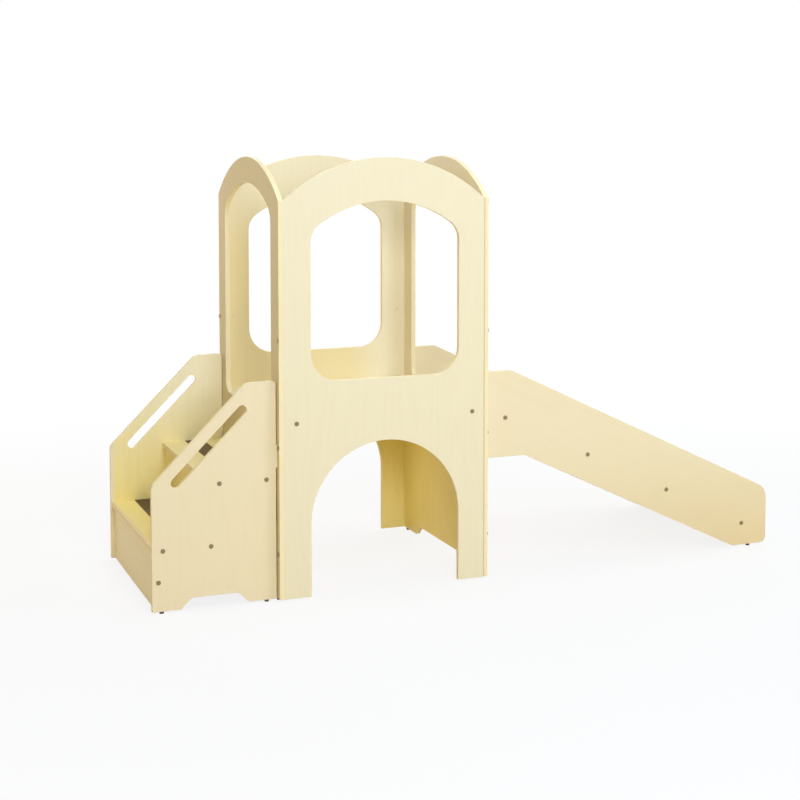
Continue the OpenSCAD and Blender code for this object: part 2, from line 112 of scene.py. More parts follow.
class BirchSettings(bpy.types.PropertyGroup):
    """The look of the plywood's faces and edges."""

    pale: colour("Pale wood", "Early wood of the tower's face veneer", tint(240, 228, 194))
    warm: colour("Warm wood", "Early wood of the steps' and the slide's veneer", tint(240, 224, 186))
    # Painted shade: a darker tone over the whole tower panel beside the steps, whose outer face turns away
    # from the main lamps
    golden_shade: colour(
        "Golden wood", "Early wood of the tower's panel beside the steps", tint(228, 213, 169)
    )
    # Painted light: a paler tone on the lower riser and the far side of the steps, standing for more light
    # falling there
    light: colour(
        "Light wood", "Early wood of the lower riser and of the far side of the steps", tint(249, 239, 203)
    )
    # Painted shade: a warm, deeper tone standing for the shade under the platform and low between the step
    # sides
    shelter_shade: colour(
        "Sheltered wood", "Veneer under the platform and low between the step sides", tint(255, 239, 160)
    )
    # Painted shade: a deeper tone standing for the shade in the back panel's inner corner on the side of
    # the steps
    corner: colour(
        "Corner wood", "Veneer inside the back panel, on the side of the steps", tint(237, 219, 165)
    )
    # Deep wood is the veneer's own late wood and streaks, and also the painted shade on the slide's sides
    # towards its foot
    deep: colour(
        "Deep wood", "Late wood and streaks, and the veneer at the slide's foot", tint(230, 208, 160)
    )
    # Painted shadow: a dark line where the slide's side panel of the tower meets the front and back panels
    seam: colour(
        "Seam", "Line where the slide's side of the tower meets front and back", tint(196, 176, 124)
    )
    seam_strength: share("Seam strength", "How strongly that line shows", 0.6)
    figure: share("Figure", "How strongly the veneer's bands and streaks show", 0.13)
    band: length("Band width", "Distance from one growth band to the next", 0.055, 0.01, 0.3)
    fibre: length("Fibre width", "Width of one fine fibre streak", 0.0012, 0.0003, 0.01)
    layers: bpy.props.IntProperty(
        name="Layers", description="Veneers through the thickness of a panel", min=3, max=25, default=13
    )
    long_layer: colour("Long layer", "Edge of a veneer cut along its grain", tint(253, 242, 201))
    end_layer: colour("End layer", "Edge of a veneer cut across its grain", tint(247, 229, 180))
    lacquer: share("Lacquer", "Strength of the clear matt lacquer", 0.05)
    slide_lacquer: share("Slide lacquer", "Strength of the harder lacquer on the slide bed", 0.22)
    wear: share("Edge wear", "How far the sanded edges differ from the faces", 0.5)
    edge_radius: length(
        "Edge radius", "Radius that every panel edge is rounded to", 0.001, 0.0002, 0.004
    )
    edge_steps: bpy.props.IntProperty(
        name="Edge steps", description="Facets round one edge", min=1, max=6, default=3
    )


class HardwareSettings(bpy.types.PropertyGroup):
    """The look of the bolts, nuts, screws, dowels, cleats, strips and glides."""

    steel: colour("Steel", "Zinc plated bolts and nuts", tint(160, 143, 108))
    steel_dark: colour("Steel shade", "Duller patches of the plating", tint(112, 98, 72))
    steel_edge: length("Steel edge", "Radius of the turned edges of the hardware", 0.0004, 0.0001, 0.001)
    beech: colour("Beech", "Dowels and cleats", tint(226, 190, 146))
    beech_fleck: colour("Beech fleck", "Short dark flecks in the beech", tint(178, 132, 88))
    grit: colour("Grit strip", "Coarse safety strip on the treads", tint(70, 54, 16))
    grit_grain: length("Grit size", "Size of one grain of the safety strip", 0.0012, 0.0003, 0.005)
    glide: colour("Glide", "Moulded feet under the panels", tint(70, 58, 48))
    cap: colour("Cap", "Moulded caps over the nuts inside the tower", tint(238, 222, 180))
    cap_width: length("Cap width", "Diameter of the caps over the nuts", 0.013, 0.011, 0.02)
    cap_height: length("Cap height", "How far the caps stand out", 0.0012, 0.0005, 0.003)

    def cap_profile(self):
        """Radius and height of the points of a cap's outline, from its rim to its middle."""
        quarter = [math.pi / 16 * step for step in range(9)]
        shoulder = [(0.72 + 0.28 * math.cos(turn), 0.35 + 0.4 * math.sin(turn)) for turn in quarter]
        shares = [(1.0, 0.0), *shoulder, (0.6, 0.72), (0.4, 0.9), (0.2, 0.98), (0.0, 1.0)]
        return [(self.cap_width / 2 * out, self.cap_height * up) for out, up in shares]


class StudioSettings(bpy.types.PropertyGroup):
    """The camera, the lamps and the floor."""

    camera_place: bpy.props.FloatVectorProperty(
        name="Camera place", description="Where the camera stands", subtype="TRANSLATION",
        unit="LENGTH", default=(-2.3175, -5.3771, 1.6185)
    )
    camera_turn: bpy.props.FloatProperty(
        name="Camera turn", description="How far the camera looks to the right of straight ahead",
        subtype="ANGLE", unit="ROTATION", default=0.3772
    )
    camera_dip: bpy.props.FloatProperty(
        name="Camera dip", description="How far the camera looks below level",
        subtype="ANGLE", unit="ROTATION", default=0.0662
    )
    lens: bpy.props.FloatProperty(
        name="Lens", description="Focal length", unit="CAMERA", min=20, max=200, default=67.8
    )
    rise: bpy.props.FloatProperty(
        name="Lens shift", description="Upright shift, as a share of the picture's width", default=-0.2
    )
    sky: bpy.props.FloatProperty(
        name="Soft light", description="Strength of the even light from all round", min=0, default=0.04
    )
    front: lamp_power("Front light", "Small cool lamp in front, on the steps' side", 160)
    front_right: lamp_power("Front right light", "Large cool lamp in front of the slide's end", 124)
    overhead: lamp_power("Overhead light", "Lamp straight above", 66)
    front_top: lamp_power("High front light", "Cool lamp high in front", 95)
    back_right: lamp_power("Back right light", "Large cool lamp behind the slide's end", 180)
    back: lamp_power("Back light", "Large cool lamp straight behind", 120)
    back_left: lamp_power("Back left light", "Large warm lamp behind the steps", 72)
    left: lamp_power("Left light", "Large warm lamp beyond the steps", 30)
    floor: colour("Floor", "Seamless paper that the slide stands on", tint(240, 240, 240))
    bounce: colour(
        "Floor bounce", "Colour that the floor throws back at the slide", tint(243, 226, 190)
    )
    shade: share("Shadow", "How much of the floor's shadow the camera sees", 0.16)


# ------------------------------------------------------- node and mesh tools


def place(tree, kind, inputs=None, **settings):
    """A new node with these settings, each input linked to a socket or set to a value."""
    node = tree.nodes.new(kind)
    for key, value in settings.items():
        setattr(node, key, value)
    for key, value in (inputs or {}).items():
        if isinstance(value, bpy.types.NodeSocket):
            tree.links.new(value, node.inputs[key])
        else:
            node.inputs[key].default_value = value
    return node


def sums(tree, operation, *values):
    """The output of a Math node with these values."""
    return place(tree, "ShaderNodeMath", dict(enumerate(values)), operation=operation).outputs[0]


def turns(tree, operation, *values):
    """A Vector Math node with these values: its number for a dot product or a length, else its vector."""
    node = place(tree, "ShaderNodeVectorMath", dict(enumerate(values)), operation=operation)
    return node.outputs["Value" if operation in {"DOT_PRODUCT", "LENGTH"} else "Vector"]


def split(tree, vector):
    """The X, Y and Z sockets of a vector."""
    return place(tree, "ShaderNodeSeparateXYZ", {"Vector": vector}).outputs


def cube(tree, value):
    """A vector with this value on all three axes."""
    return place(tree, "ShaderNodeCombineXYZ", {"X": value, "Y": value, "Z": value}).outputs[0]


def object_place(tree):
    """Where a point lies, in metres from the middle of the slide's footprint."""
    return place(tree, "ShaderNodeTexCoord").outputs["Object"]


def ease(tree, value, low, high, start=0.0, end=1.0):
    """value from low..high brought smoothly to start..end."""
    return place(
        tree, "ShaderNodeMapRange",
        {"Value": value, "From Min": low, "From Max": high, "To Min": start, "To Max": end},
        interpolation_type="SMOOTHSTEP",
    ).outputs["Result"]


def blend(tree, factor, first, second):
    """The colour between first and second."""
    node = place(tree, "ShaderNodeMix", data_type="RGBA", blend_type="MIX")
    for socket, value in ((node.inputs[0], factor), (node.inputs[6], first), (node.inputs[7], second)):
        if isinstance(value, bpy.types.NodeSocket):
            tree.links.new(value, socket)
        else:
            socket.default_value = value
    return node.outputs[2]


def mix(tree, factor, first, second):
    """The value between first and second."""
    return place(tree, "ShaderNodeMix", {0: factor, 2: first, 3: second}).outputs[0]


def noise(tree, where, scale=1.0, detail=2.0, roughness=0.5, stretch=None):
    """A noise value from 0 to 1 at this place, stretched along the axes first."""
    spot = turns(tree, "MULTIPLY", where, stretch) if stretch else where
    return place(
        tree, "ShaderNodeTexNoise",
        {"Vector": spot, "Scale": scale, "Detail": detail, "Roughness": roughness},
    ).outputs["Fac"]


def new_group(name, inputs, outputs):
    """A shader node group with named sockets: its tree, its input sockets and its output node."""
    tree = bpy.data.node_groups.new(name, "ShaderNodeTree")
    kinds = {"value": "NodeSocketFloat", "vector": "NodeSocketVector", "colour": "NodeSocketColor"}
    for side, sockets in (("INPUT", inputs), ("OUTPUT", outputs)):
        for socket, kind in sockets.items():
            tree.interface.new_socket(socket, in_out=side, socket_type=kinds[kind])
    return tree, place(tree, "NodeGroupInput").outputs, place(tree, "NodeGroupOutput").inputs


def use_group(tree, name, inputs):
    """The outputs of this node group, placed in a material with these inputs."""
    return place(tree, "ShaderNodeGroup", inputs, node_tree=bpy.data.node_groups[name]).outputs


def new_material(name):
    """A material with a Principled shader: its tree and that shader."""
    material = bpy.data.materials.new(name)
    material.use_nodes = True
    tree = material.node_tree
    return material, tree, next(n for n in tree.nodes if n.type == "BSDF_PRINCIPLED")


def raise_surface(tree, shader, height, depth):
    """The shader's normal follows height, with relief this deep in metres."""
    bump = place(tree, "ShaderNodeBump", {"Height": height, "Distance": depth, "Strength": 1.0})
    tree.links.new(bump.outputs["Normal"], shader.inputs["Normal"])


def set_finish(shader, **values):
    """Constant values on the shader's own sockets."""
    for key, value in values.items():
        shader.inputs[key.replace("_", " ")].default_value = value


def round_edges(part, radius, steps, sharpest=math.radians(35), flattest=math.radians(0.5)):
    """Rounds a part's sharp edges and shades its curved walls smoothly."""
    weld = part.modifiers.new("Join facets", "WELD")
    weld.merge_threshold = SAME_SPOT
    flat = part.modifiers.new("Flat faces", "DECIMATE")
    flat.decimate_type = "DISSOLVE"
    flat.angle_limit = flattest
    bevel = part.modifiers.new("Rounded edges", "BEVEL")
    bevel.width = radius
    bevel.segments = steps
    bevel.limit_method = "ANGLE"
    bevel.angle_limit = sharpest
    bevel.use_clamp_overlap = False
    bevel.loop_slide = False
    smooth = part.modifiers.new("Even shading", "WEIGHTED_NORMAL")
    smooth.keep_sharp = False
    smooth.weight = 80


def wear_material(node, material):
    """Gives a CAD node this material."""
    for slot in NODES[node].material_slots:
        slot.material = material


def node_box(*nodes):
    """The lowest and highest corner of the box round these nodes."""
    return corner_box([vertex.co for node in nodes for vertex in NODES[node].data.vertices])


def corner_box(places):
    """The lowest and highest corner of the box round these places."""
    axes = list(zip(*places))
    return Vector(map(min, axes)), Vector(map(max, axes))


def board_facing(node):
    """The direction through a flat board, its lowest place along that, and its thickness."""
    mesh = NODES[node].data
    sides = {}
    for face in mesh.polygons:
        facing = face.normal if max(face.normal, key=abs) > 0 else -face.normal
        key = tuple(round(value, 2) for value in facing)
        area, total = sides.get(key, (0.0, Vector()))
        sides[key] = (area + face.area, total + facing * face.area)
    largest = max(sides.values(), key=lambda side: side[0])
    through = largest[1].normalized()
    depths = [vertex.co.dot(through) for vertex in mesh.vertices]
    return through, min(depths), max(depths) - min(depths)


# -------------------------------------------------------------- node groups


def make_board_group():
    """Where a point lies on a board: in its grain, in its depth, and on a face, an edge or an arris."""
    tree, given, result = new_group(
        "Board place",
        {"Grain": "vector", "Through": "vector", "Low side": "value",
         "Thickness": "value", "Shift": "vector"},
        {"Place": "vector", "Depth": "value", "Side": "value", "Arris": "value"},
    )
    where = object_place(tree)
    facing = place(tree, "ShaderNodeNewGeometry").outputs["Normal"]
    across = turns(tree, "CROSS_PRODUCT", given["Through"], given["Grain"])
    through = turns(tree, "DOT_PRODUCT", where, given["Through"])
    spot = place(
        tree, "ShaderNodeCombineXYZ",
        {"X": turns(tree, "DOT_PRODUCT", where, across), "Y": through,
         "Z": turns(tree, "DOT_PRODUCT", where, given["Grain"])},
    ).outputs["Vector"]
    depth = sums(tree, "DIVIDE", sums(tree, "SUBTRACT", through, given["Low side"]), given["Thickness"])
    flatness = sums(tree, "ABSOLUTE", turns(tree, "DOT_PRODUCT", facing, given["Through"]))
    rising = ease(tree, flatness, 0.15, 0.5)
    falling = ease(tree, flatness, 0.9, 0.995, 1.0, 0.0)
    tree.links.new(turns(tree, "ADD", spot, given["Shift"]), result["Place"])
    tree.links.new(depth, result["Depth"])
    tree.links.new(ease(tree, flatness, 0.55, 0.8), result["Side"])
    tree.links.new(sums(tree, "MULTIPLY", rising, falling), result["Arris"])


def make_veneer_group():
    """Rotary cut face veneer: broad tone, growth bands, fibre streaks and fine flecks."""
    tree, given, result = new_group(
        "Birch veneer",
        {"Place": "vector", "Pale": "colour", "Deep": "colour",
         "Figure": "value", "Band": "value", "Fibre": "value"},
        {"Color": "colour", "Roughness": "value", "Height": "value"},
    )
    spot = given["Place"]
    tone = noise(tree, spot, 1.0, 3.0, stretch=(3.0, 3.0, 0.7))
    bands = turns(tree, "DIVIDE", turns(tree, "MULTIPLY", spot, (1, 1, 0.09)), cube(tree, given["Band"]))
    drift = noise(tree, bands, stretch=(0.55, 0.3, 0.8))
    phase = sums(tree, "MULTIPLY_ADD", drift, 7.0, split(tree, bands)["X"])
    wave = sums(tree, "SINE", sums(tree, "MULTIPLY", phase, math.tau))
    band = ease(tree, wave, -0.2, 1.0)
    fine = turns(tree, "DIVIDE", turns(tree, "MULTIPLY", spot, (1, 1, 0.018)), cube(tree, given["Fibre"]))
    fibre = noise(tree, fine, 0.5, 3.0, 0.62)
    streak = noise(tree, fine, stretch=(0.09, 0.09, 0.12))
    flecks = ease(tree, noise(tree, fine, 0.55, 1.0, stretch=(1.1, 1.1, 9.0)), 0.69, 0.78)
    mixed = sums(tree, "MULTIPLY_ADD", tone, 0.55, sums(tree, "MULTIPLY", band, 0.3))
    mixed = sums(tree, "MULTIPLY_ADD", streak, 0.45, mixed)
    mixed = sums(tree, "MULTIPLY_ADD", fibre, 0.35, mixed)
    darker = sums(tree, "MULTIPLY", ease(tree, mixed, 0.55, 1.25), given["Figure"])
    darker = sums(tree, "MULTIPLY_ADD", flecks, sums(tree, "MULTIPLY", given["Figure"], 0.5), darker)
    rough = sums(tree, "MULTIPLY_ADD", tone, 0.08, 0.34)
    rough = sums(tree, "MULTIPLY_ADD", fibre, 0.12, rough)
    tree.links.new(blend(tree, darker, given["Pale"], given["Deep"]), result["Color"])
    tree.links.new(rough, result["Roughness"])
    tree.links.new(sums(tree, "SUBTRACT", fibre, sums(tree, "MULTIPLY", flecks, 0.6)), result["Height"])


def make_layer_group():
    """The sawn and sanded edge of plywood: alternate layers, glue lines and end grain."""
    tree, given, result = new_group(
        "Ply layers",
        {"Place": "vector", "Depth": "value", "Layers": "value",
         "Long layer": "colour", "End layer": "colour"},
        {"Color": "colour", "Roughness": "value", "Height": "value"},
    )
    spot = given["Place"]
    waver = noise(tree, spot, stretch=(14, 14, 14))
    level = sums(tree, "MULTIPLY", given["Depth"], given["Layers"])
    level = sums(tree, "MULTIPLY_ADD", waver, 0.3, level)
    which = sums(tree, "FLOOR", level)
    odd = sums(tree, "MODULO", which, 2.0)
    from_middle = sums(tree, "ABSOLUTE", sums(tree, "SUBTRACT", sums(tree, "FRACT", level), 0.5))
    glue = ease(tree, from_middle, 0.38, 0.49)
    shade = place(tree, "ShaderNodeTexWhiteNoise", {"W": which}, noise_dimensions="1D").outputs["Value"]
    patch = noise(tree, spot, stretch=(22, 400, 22))
    pores = noise(tree, spot, 1.0, 1.0, stretch=(1900, 1900, 1900))
    end = sums(tree, "MULTIPLY_ADD", odd, 0.55, sums(tree, "MULTIPLY", shade, 0.3))
    end = sums(tree, "MULTIPLY_ADD", patch, 0.3, end)
    end = sums(tree, "MULTIPLY_ADD", pores, sums(tree, "MULTIPLY", odd, 0.35), end)
    layer = blend(tree, ease(tree, end, 0.1, 1.1), given["Long layer"], given["End layer"])
    rough = sums(tree, "MULTIPLY_ADD", odd, 0.1, 0.42)
    rough = sums(tree, "MULTIPLY_ADD", pores, 0.15, rough)
    height = sums(tree, "MULTIPLY_ADD", pores, 0.5, sums(tree, "MULTIPLY", glue, -1.0))
    tree.links.new(blend(tree, sums(tree, "MULTIPLY", glue, 0.4), layer, GLUE_LINE), result["Color"])
    tree.links.new(rough, result["Roughness"])
    tree.links.new(height, result["Height"])


def make_wear_group():
    """Edges rubbed by hands: a broken mask along the rounded arris."""
    tree, given, result = new_group(
        "Edge wear", {"Place": "vector", "Arris": "value", "Wear": "value"}, {"Mask": "value"}
    )
    patches = noise(tree, given["Place"], 1.0, 3.0, stretch=(9, 9, 9))
    specks = noise(tree, given["Place"], stretch=(140, 140, 140))
    broken = ease(tree, sums(tree, "MULTIPLY_ADD", specks, 0.35, patches), 0.45, 0.85)
    kept = sums(tree, "MULTIPLY", sums(tree, "MULTIPLY_ADD", broken, 0.6, 0.4), given["Wear"])
    tree.links.new(sums(tree, "MULTIPLY", given["Arris"], kept), result["Mask"])


def make_shade_zone_group():
    """A slightly cloudy mask of painted shade in an upright box, which fades out towards its top and past
    its ends.
    """
    tree, given, result = new_group(
        "Zone",
        {"Middle": "vector", "Half": "vector", "Fade": "value", "Soft ends": "value"},
        {"Mask": "value"},
    )
    where = object_place(tree)
    off = turns(tree, "SUBTRACT", where, given["Middle"])
    past = split(tree, turns(tree, "SUBTRACT", turns(tree, "ABSOLUTE", off), given["Half"]))
    along = ease(tree, past["X"], 0.0008, given["Soft ends"], 1.0, 0.0)
    across = ease(tree, past["Y"], 0.0008, 0.002, 1.0, 0.0)
    from_top = sums(tree, "SUBTRACT", split(tree, given["Half"])["Z"], split(tree, off)["Z"])
    sunk = ease(tree, sums(tree, "DIVIDE", from_top, given["Fade"]), 0.0, 1.0)
    cloud = sums(tree, "MULTIPLY_ADD", noise(tree, where, 5.0, 3.0), 0.3, 0.82)
    inside = sums(tree, "MULTIPLY", sums(tree, "MULTIPLY", along, across), sunk)
    tree.links.new(sums(tree, "MULTIPLY", inside, cloud), result["Mask"])


def make_seam_group():
    """The shadow line along the low side of a board's outer ends, where it meets its neighbours."""
    tree, given, result = new_group(
        "Seam", {"Depth": "value", "Reach": "value", "Strength": "value"}, {"Mask": "value"}
    )
    out = sums(tree, "ABSOLUTE", split(tree, object_place(tree))["Y"])
    at_end = ease(tree, sums(tree, "SUBTRACT", given["Reach"], out), 0.002, 0.004, 1.0, 0.0)
    low_side = ease(tree, given["Depth"], 0.12, 0.4, 1.0, 0.0)
    line = sums(tree, "MULTIPLY", at_end, low_side)
    tree.links.new(sums(tree, "MULTIPLY", line, given["Strength"]), result["Mask"])


def make_plating_group():
    """Bright zinc plating: cloudy colour, fine turning marks and small scuffs."""
    tree, given, result = new_group(
        "Zinc plating",
        {"Steel": "colour", "Shade": "colour", "Scale": "value"},
        {"Color": "colour", "Roughness": "value", "Height": "value"},
    )
    where = object_place(tree)
    cloud = noise(tree, where, given["Scale"], 3.0)
    scuff = ease(tree, noise(tree, where, given["Scale"], 4.0, 0.7, (3, 3, 0.4)), 0.5, 0.68)
    marks = noise(tree, where, given["Scale"], stretch=(9, 9, 9))
    shaded = sums(tree, "MULTIPLY_ADD", scuff, 0.4, sums(tree, "MULTIPLY", cloud, 0.6))
    rough = sums(tree, "MULTIPLY_ADD", scuff, 0.15, 0.2)
    rough = sums(tree, "MULTIPLY_ADD", cloud, 0.2, rough)
    tree.links.new(blend(tree, shaded, given["Steel"], given["Shade"]), result["Color"])
    tree.links.new(rough, result["Roughness"])
    tree.links.new(sums(tree, "ADD", marks, scuff), result["Height"])


def make_beech_group():
    """Plain sawn beech: soft stripes along the grain with short dark flecks."""
    tree, given, result = new_group(
        "Beech",
        {"Stretch": "vector", "Wood": "colour", "Fleck": "colour"},
        {"Color": "colour", "Roughness": "value", "Height": "value"},
    )
    spot = turns(tree, "MULTIPLY", object_place(tree), given["Stretch"])
    stripe = noise(tree, spot, 0.16, 3.0)
    fleck = ease(tree, noise(tree, spot, 1.0, 1.0), 0.6, 0.72)
    amount = sums(tree, "MULTIPLY_ADD", fleck, 0.55, sums(tree, "MULTIPLY", stripe, 0.4))
    tree.links.new(blend(tree, amount, given["Wood"], given["Fleck"]), result["Color"])
    tree.links.new(sums(tree, "MULTIPLY_ADD", stripe, 0.2, 0.42), result["Roughness"])
    tree.links.new(sums(tree, "SUBTRACT", stripe, fleck), result["Height"])


# ---------------------------------------------------------------- materials


def grain_shift(node):
    """How far this board lies from the others in the grain, so that no two look alike."""
    start = sum(NODES[node].data.vertices[0].co) + len(node)
    return tuple(math.sin(start * turn) * 3 for turn in (7.1, 3.7, 5.3))


def birch_board(node, grain, wood, zones, lacquer, seam):
    """Birch plywood for one board.

    Its face veneer runs along grain and its early wood is wood, apart from the zones, where tones of
    painted shade replace it.
    seam is the strength of the shadow line along its low side.
    """
    birch = bpy.context.scene.slide_birch
    through, low_side, thickness = board_facing(node)
    grain = (grain - through * grain.dot(through)).normalized()
    material, tree, shader = new_material("birch " + node.replace("_", " "))
    at = use_group(tree, "Board place", {
        "Grain": grain, "Through": through, "Low side": low_side, "Thickness": thickness,
        "Shift": grain_shift(node),
    })
    early = wood
    # The zones paint shade into the early wood
    for zone, tone in zones:
        early = blend(tree, use_group(tree, "Zone", zone)["Mask"], early, tone)
    veneer = use_group(tree, "Birch veneer", {
        "Place": at["Place"], "Pale": early, "Deep": birch.deep,
        "Figure": birch.figure, "Band": birch.band, "Fibre": birch.fibre,
    })
    layers = use_group(tree, "Ply layers", {
        "Place": at["Place"], "Depth": at["Depth"], "Layers": birch.layers,
        "Long layer": birch.long_layer, "End layer": birch.end_layer,
    })
    worn = use_group(tree, "Edge wear", {
        "Place": at["Place"], "Arris": at["Arris"], "Wear": birch.wear,
    })["Mask"]
    bare = blend(tree, at["Side"], layers["Color"], veneer["Color"])
    surface = blend(tree, worn, bare, birch.long_layer)
    # Painted shadow line on the board's low side at its outer ends
    if seam:
        line = use_group(tree, "Seam", {
            "Depth": at["Depth"], "Reach": node_box(node)[1].y, "Strength": seam,
        })["Mask"]
        surface = blend(tree, line, surface, birch.seam)
    rough = mix(tree, at["Side"], layers["Roughness"], veneer["Roughness"])
    tree.links.new(surface, shader.inputs["Base Color"])
    tree.links.new(sums(tree, "MULTIPLY_ADD", worn, -0.1, rough), shader.inputs["Roughness"])
    raise_surface(tree, shader, mix(tree, at["Side"], layers["Height"], veneer["Height"]), 0.00004)
    set_finish(shader, Coat_Weight=lacquer, Coat_Roughness=0.35, Specular_IOR_Level=0.2)
    return material


def finish_boards(nodes, grain, wood, zones=(), lacquer=None, seam=0.0):
    """Rounds these boards' edges and gives them birch plywood."""
    birch = bpy.context.scene.slide_birch
    coat = birch.lacquer if lacquer is None else lacquer
    for node in nodes:
        round_edges(NODES[node], birch.edge_radius, birch.edge_steps)
        wear_material(node, birch_board(node, grain, wood, zones, coat, seam))


def upright_shade_zone(low, high, fade, tone, soft_ends=0.002):
    """A painted shade zone between two corners that fades this far below its top: its box and its tone."""
    middle, half = (low + high) / 2, (high - low) / 2
    return {"Middle": middle, "Half": half, "Fade": fade, "Soft ends": soft_ends}, tone


def under_platform_shade(lip=0.014):
    """The painted warm shade under the platform, which ends this far up the platform's edge."""
    low, high = node_box("platform")
    floor, top = Vector((low.x, low.y, 0)), Vector((high.x, high.y, low.z + lip))
    return upright_shade_zone(floor, top, 0.012, bpy.context.scene.slide_birch.shelter_shade)


def between_step_sides_shade(riser_face=0.012):
    """The painted warm shade between the sides of the steps, deeper towards the floor, behind the lower
    riser's outer face.
    """
    low, high = node_box("tread_lower", "tread_upper", "stair_rail")
    floor = Vector((low.x + riser_face, low.y, 0))
    top = Vector((high.x, high.y, node_box("stair_side_front")[1].z))
    return upright_shade_zone(floor, top, 0.6, bpy.context.scene.slide_birch.shelter_shade)


def back_corner_shade(reach=0.5, height=0.88, margin=0.01, bite=0.004):
    """The painted shade in the corner of the back panel's inner face above the platform, on the side of
    the steps.
    """
    low, high = node_box("platform")
    face = node_box("tower_back")[0].y
    bottom = Vector((low.x, face - margin, high.z))
    top = Vector((low.x + reach, face + bite, high.z + height))
    return upright_shade_zone(bottom, top, 0.4, bpy.context.scene.slide_birch.corner, soft_ends=0.18)


def slide_foot_shade(height=0.53, margin=0.01):
    """The painted shade on the slide's sides at its lower end, darker towards the bottom."""
    low, high = node_box("slide_side_front", "slide_side_back")
    bottom = low - Vector((margin, margin, margin))
    top = Vector((high.x + margin, high.y + margin, height))
    return upright_shade_zone(bottom, top, 0.62, bpy.context.scene.slide_birch.deep)


def plated(name, scale):
    """A zinc plated material with its clouding at this scale, in patches a metre."""
    hardware = bpy.context.scene.slide_hardware
    material, tree, shader = new_material(name)
    zinc = use_group(tree, "Zinc plating", {
        "Steel": hardware.steel, "Shade": hardware.steel_dark, "Scale": scale,
    })
    tree.links.new(zinc["Color"], shader.inputs["Base Color"])
    tree.links.new(zinc["Roughness"], shader.inputs["Roughness"])
    raise_surface(tree, shader, zinc["Height"], 0.00002)
    set_finish(shader, Metallic=1.0)
    return material


def beech(name, stretch):
    """Beech with its grain along the axis that stretch squeezes least."""
    hardware = bpy.context.scene.slide_hardware
    material, tree, shader = new_material(name)
    wood = use_group(tree, "Beech", {
        "Stretch": stretch, "Wood": hardware.beech, "Fleck": hardware.beech_fleck,
    })
    tree.links.new(wood["Color"], shader.inputs["Base Color"])
    tree.links.new(wood["Roughness"], shader.inputs["Roughness"])
    raise_surface(tree, shader, wood["Height"], 0.00006)
    return material


def grit_strip():
    """Coarse mineral grit bonded to a dark rubber strip."""
    hardware = bpy.context.scene.slide_hardware
    material, tree, shader = new_material("grit strip")
    where = object_place(tree)
    grains = place(
        tree, "ShaderNodeTexVoronoi", {"Vector": where, "Scale": 1 / hardware.grit_grain}
    ).outputs
    scuffs = noise(tree, where, 28.0, 3.0)
    chance = place(tree, "ShaderNodeSeparateColor", {"Color": grains["Color"]}).outputs["Red"]
    bright = sums(tree, "MULTIPLY", chance, 0.5)
    worn = sums(tree, "MULTIPLY_ADD", ease(tree, scuffs, 0.45, 0.7), 0.3, bright)
    tree.links.new(blend(tree, worn, hardware.grit, BARE_GRIT), shader.inputs["Base Color"])
    tree.links.new(sums(tree, "MULTIPLY_ADD", scuffs, 0.3, 0.6), shader.inputs["Roughness"])
    raise_surface(tree, shader, sums(tree, "MULTIPLY", grains["Distance"], -1.0), 0.0006)
    return material


def moulded_glide():
    """Dull moulded plastic with a pebbled skin."""
    hardware = bpy.context.scene.slide_hardware
    material, tree, shader = new_material("moulded glide")
    where = object_place(tree)
    pebble = noise(tree, where, 1400.0, 2.0)
    dust = ease(tree, noise(tree, where, 160.0, 3.0), 0.45, 0.75)
    dusty = blend(tree, sums(tree, "MULTIPLY", dust, 0.35), hardware.glide, GLIDE_DUST)
    tree.links.new(dusty, shader.inputs["Base Color"])
    tree.links.new(sums(tree, "MULTIPLY_ADD", dust, 0.25, 0.45), shader.inputs["Roughness"])
    raise_surface(tree, shader, pebble, 0.0001)
    return material


def moulded_cap():
    """Wood coloured moulded plastic with faint flow streaks, which takes the painted warm shade of the
    wood round it under the platform.
    """
    hardware = bpy.context.scene.slide_hardware
    material, tree, shader = new_material("moulded cap")
    where = object_place(tree)
    streaks = noise(tree, where, 420.0, 3.0, stretch=(1, 1, 0.2))
    grain = noise(tree, where, 2600.0, 1.0)
    # Painted shade: caps under the platform take the same warm shade tone as the wood there
    zone, tone = under_platform_shade()
    plastic = blend(tree, use_group(tree, "Zone", zone)["Mask"], hardware.cap, tone)
    streaked = blend(tree, sums(tree, "MULTIPLY", streaks, 0.4), plastic, CAP_STREAK)
    tree.links.new(streaked, shader.inputs["Base Color"])
    tree.links.new(sums(tree, "MULTIPLY_ADD", streaks, 0.2, 0.45), shader.inputs["Roughness"])
    raise_surface(tree, shader, grain, 0.00003)
    return material


def solid_boxes(node):
    """The lowest and highest corners of each separate solid of a CAD node."""
    mesh = bmesh.new()
    mesh.from_mesh(NODES[node].data)
    bmesh.ops.remove_doubles(mesh, verts=mesh.verts, dist=SAME_SPOT)
    boxes, left = [], set(mesh.verts)
    while left:
        found, queue = [], [left.pop()]
        while queue:
            vertex = queue.pop()
            found.append(vertex.co.copy())
            near = {edge.other_vert(vertex) for edge in vertex.link_edges} & left
            left -= near
            queue.extend(near)
        boxes.append(corner_box(found))
    mesh.free()
    return sorted(boxes, key=lambda box: tuple(round(value, 3) for value in box[0]))


